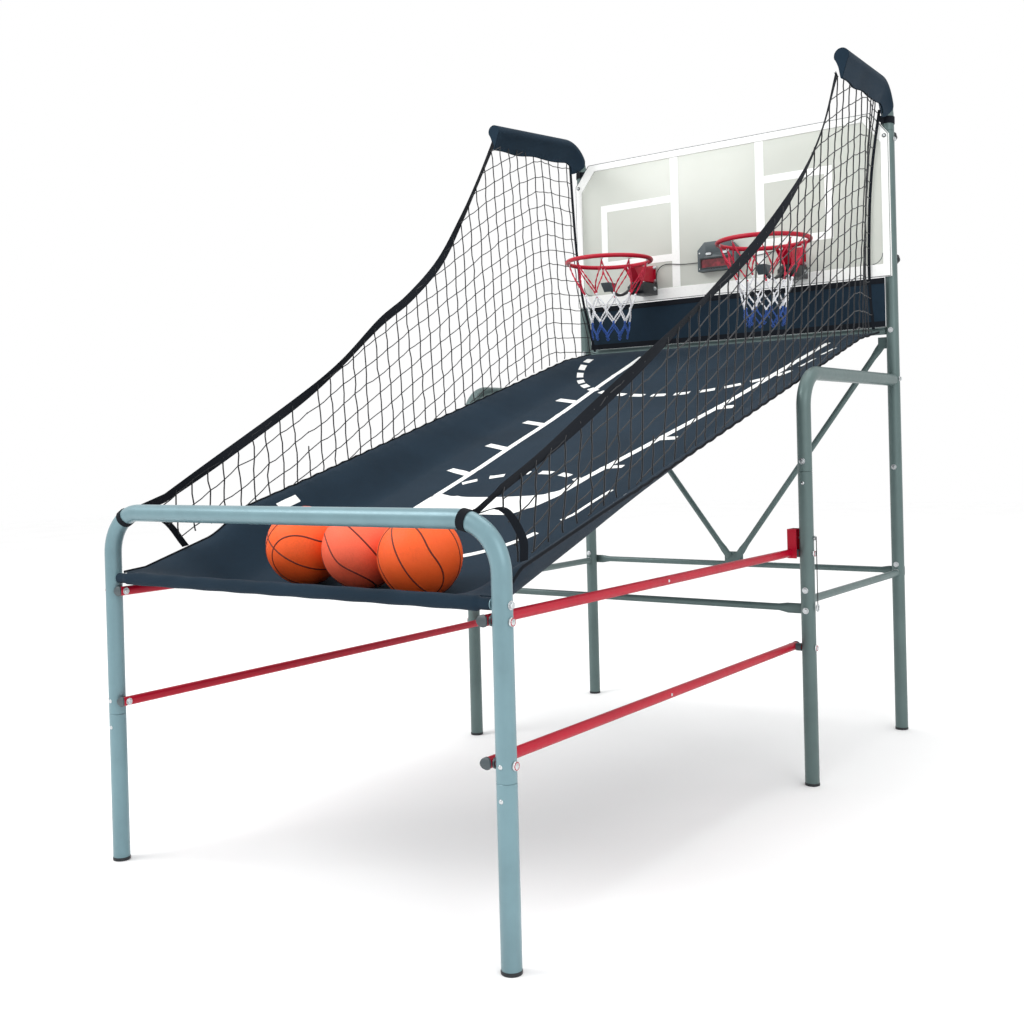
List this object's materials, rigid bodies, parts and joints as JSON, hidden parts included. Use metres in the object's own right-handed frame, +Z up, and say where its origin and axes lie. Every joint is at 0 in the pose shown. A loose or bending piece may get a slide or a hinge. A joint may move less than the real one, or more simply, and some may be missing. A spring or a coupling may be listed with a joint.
{
  "type": "basketball hoop machine",
  "caption": "Folding twin-hoop basketball machine: steel tube frame, slung fabric ball ramp, backboard with scoring rims, side nets and loose balls waiting in a front tray.",
  "frame": {"origin": "on the floor, at the centre of the overall plan", "axes": "+Z up, -Y towards the player, +X to the player's right"},
  "size_m": [1.2508, 2.157, 2.032],
  "materials": {
    "paint_light": "light blue-grey powder coat",
    "paint_dark": "dark grey powder coat",
    "paint_red": "crimson gloss paint",
    "board_white": "white printed border",
    "board_panel": "pale grey-green satin sheet",
    "fabric_navy": "dark navy woven polyester",
    "net_black": "black knotted netting",
    "hoop_cord": "red, white and blue braided loops",
    "plastic_black": "black moulded plastic",
    "plastic_grey": "dark grey moulded plastic",
    "plastic_light": "light grey moulded plastic",
    "window_red": "tinted display window",
    "zinc_steel": "zinc plated steel",
    "ball_orange": "pebbled orange rubber",
    "ball_salmon": "pebbled faded orange rubber"
  },
  "bodies": {
    "rear_frame": {"rear_post_left": "paint_dark", "rear_post_right": "paint_dark", "net_arm_left": "paint_dark", "net_arm_right": "paint_dark", "side_leg_upper_left": "paint_dark", "side_leg_upper_right": "paint_dark", "side_leg_lower_left": "paint_dark", "side_leg_lower_right": "paint_dark", "side_rail_left": "paint_dark", "side_rail_right": "paint_dark", "crossbar_front": "paint_dark", "crossbar_rear": "paint_dark", "brace_left": "paint_dark", "brace_right": "paint_dark", "ramp_top_bar": "paint_dark", "board_border": "board_white", "board_panel": "board_panel", "rim_left": "paint_red", "rim_right": "paint_red", "hoop_net_left": "hoop_cord", "hoop_net_right": "hoop_cord", "score_sensor_left": "plastic_black", "score_sensor_right": "plastic_black", "score_housing": "plastic_grey", "score_window": "window_red", "lead_left": "plastic_black", "lead_right": "plastic_black", "board_knob_low_left": "plastic_black", "board_knob_low_right": "plastic_black", "board_knob_high_left": "plastic_black", "board_knob_high_right": "plastic_black", "apron": "fabric_navy", "ramp_sheet": "fabric_navy", "side_net_left": "net_black", "side_net_right": "net_black", "arm_sleeve_left": "fabric_navy", "arm_sleeve_right": "fabric_navy"},
    "upper_rails": {"upper_rail_left": "paint_red", "upper_rail_right": "paint_red"},
    "lower_rails": {"lower_rail_left": "paint_red", "lower_rail_right": "paint_red"},
    "front_frame": {"front_bow": "paint_light", "front_leg_left": "paint_light", "front_leg_right": "paint_light", "tray_tube": "paint_light", "tray_sleeve": "fabric_navy"},
    "paddle_left": {"score_paddle_left": "plastic_grey"},
    "paddle_right": {"score_paddle_right": "plastic_grey"},
    "button_left": {"score_button_left": "plastic_light"},
    "button_right": {"score_button_right": "plastic_light"},
    "pin_left": {"lock_pin_left": "zinc_steel", "lanyard_left": "plastic_black", "lanyard_ring_left": "plastic_black"},
    "pin_right": {"lock_pin_right": "zinc_steel", "lanyard_right": "plastic_black", "lanyard_ring_right": "plastic_black"},
    "ball_left": {"ball_left": "ball_orange"},
    "ball_middle": {"ball_middle": "ball_salmon"},
    "ball_right": {"ball_right": "ball_orange"}
  },
  "joints": [
    {"name": "fold", "type": "hinge", "parent": "rear_frame", "child": "upper_rails", "pos_m": [0, 0.306, 0.617], "axis": [-1, 0, 0], "range_deg": [0, 80], "deforming": ["ramp_sheet", "side_net_left", "side_net_right"]},
    {"name": "fold_lower", "type": "hinge", "parent": "rear_frame", "child": "lower_rails", "pos_m": [0, 0.306, 0.366], "axis": [-1, 0, 0], "range_deg": [0, 80]},
    {"name": "front_swing", "type": "hinge", "parent": "upper_rails", "child": "front_frame", "pos_m": [0, -1.057, 0.617], "axis": [-1, 0, 0], "range_deg": [-80, 0]},
    {"name": "paddle_left_tip", "type": "hinge", "parent": "rear_frame", "child": "paddle_left", "pos_m": [-0.276, 0.89, 1.468], "axis": [1, 0, 0], "range_deg": [0, 18], "stiffness_Nm_per_rad": 0.6, "springref_deg": -20.05, "deforming": ["hoop_net_left"]},
    {"name": "paddle_right_tip", "type": "hinge", "parent": "rear_frame", "child": "paddle_right", "pos_m": [0.276, 0.89, 1.468], "axis": [1, 0, 0], "range_deg": [0, 18], "stiffness_Nm_per_rad": 0.6, "springref_deg": -20.05, "deforming": ["hoop_net_right"]},
    {"name": "button_left_press", "type": "slide", "parent": "rear_frame", "child": "button_left", "axis": [0, 1, 0], "range_m": [0, 0.0025], "stiffness_N_per_m": 300, "springref_m": -0.001},
    {"name": "button_right_press", "type": "slide", "parent": "rear_frame", "child": "button_right", "axis": [0, 1, 0], "range_m": [0, 0.0025], "stiffness_N_per_m": 300, "springref_m": -0.001},
    {"name": "pin_left_pull", "type": "slide", "parent": "rear_frame", "child": "pin_left", "axis": [-1, 0, 0], "range_m": [0, 0.06]},
    {"name": "pin_right_pull", "type": "slide", "parent": "rear_frame", "child": "pin_right", "axis": [1, 0, 0], "range_m": [0, 0.06]},
    {"name": "ball_left_lift", "type": "slide", "parent": "front_frame", "child": "ball_left", "axis": [0, 0, 1], "range_m": [0, 0.25]},
    {"name": "ball_middle_lift", "type": "slide", "parent": "front_frame", "child": "ball_middle", "axis": [0, 0, 1], "range_m": [0, 0.25]},
    {"name": "ball_right_lift", "type": "slide", "parent": "front_frame", "child": "ball_right", "axis": [0, 0, 1], "range_m": [0, 0.25]}
  ],
  "couplings": [
    {"joint": "fold_lower", "follows": "fold", "ratio": 1},
    {"joint": "front_swing", "follows": "fold", "ratio": -1}
  ]
}
